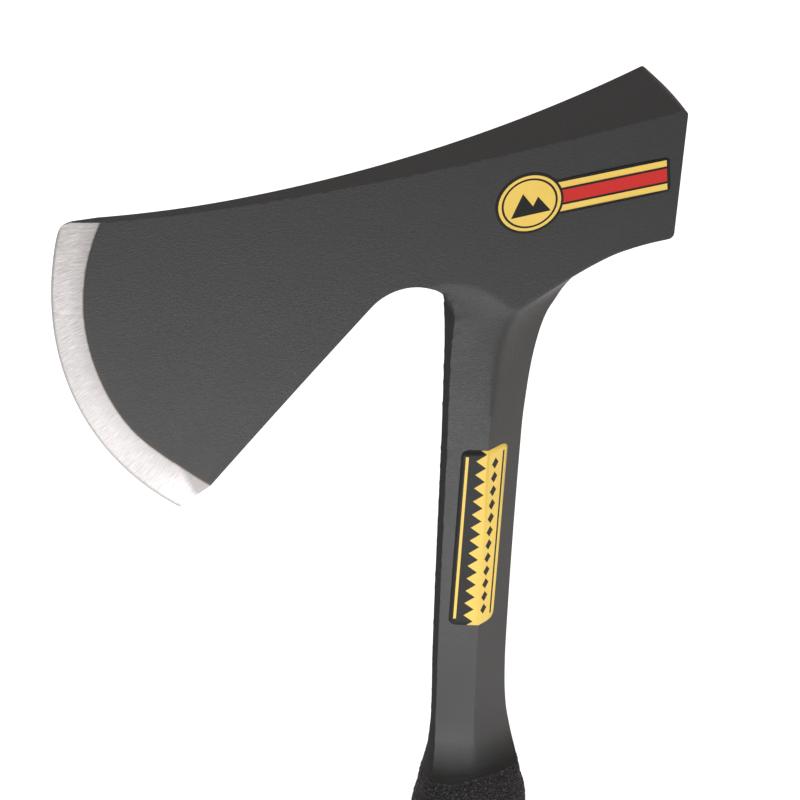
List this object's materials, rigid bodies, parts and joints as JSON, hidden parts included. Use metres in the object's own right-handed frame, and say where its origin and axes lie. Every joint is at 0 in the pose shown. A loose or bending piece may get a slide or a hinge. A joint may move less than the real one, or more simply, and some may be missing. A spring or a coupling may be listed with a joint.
{
  "type": "camper's axe",
  "caption": "Short steel axe forged in one piece, with a flared cutting edge, a square hammer poll, a bevelled neck and a moulded black hand grip.",
  "frame": {"origin": "on the handle's line, in the flat end of the grip", "axes": "+Z along the handle towards the head, +X from the cutting edge towards the hammer poll, +Y through the head's thickness, away from the side with the films"},
  "size_m": [0.1688, 0.0264, 0.4121],
  "materials": {
    "black_steel": "matte black paint, with the ground bevel bare",
    "black_vinyl": "coarse moulded grain",
    "head_film": "printed film, satin",
    "neck_film": "printed film, satin"
  },
  "bodies": {
    "root": {"axe_forging": "black_steel", "grip": "black_vinyl", "head_decal": "head_film", "neck_label": "neck_film"}
  },
  "joints": []
}
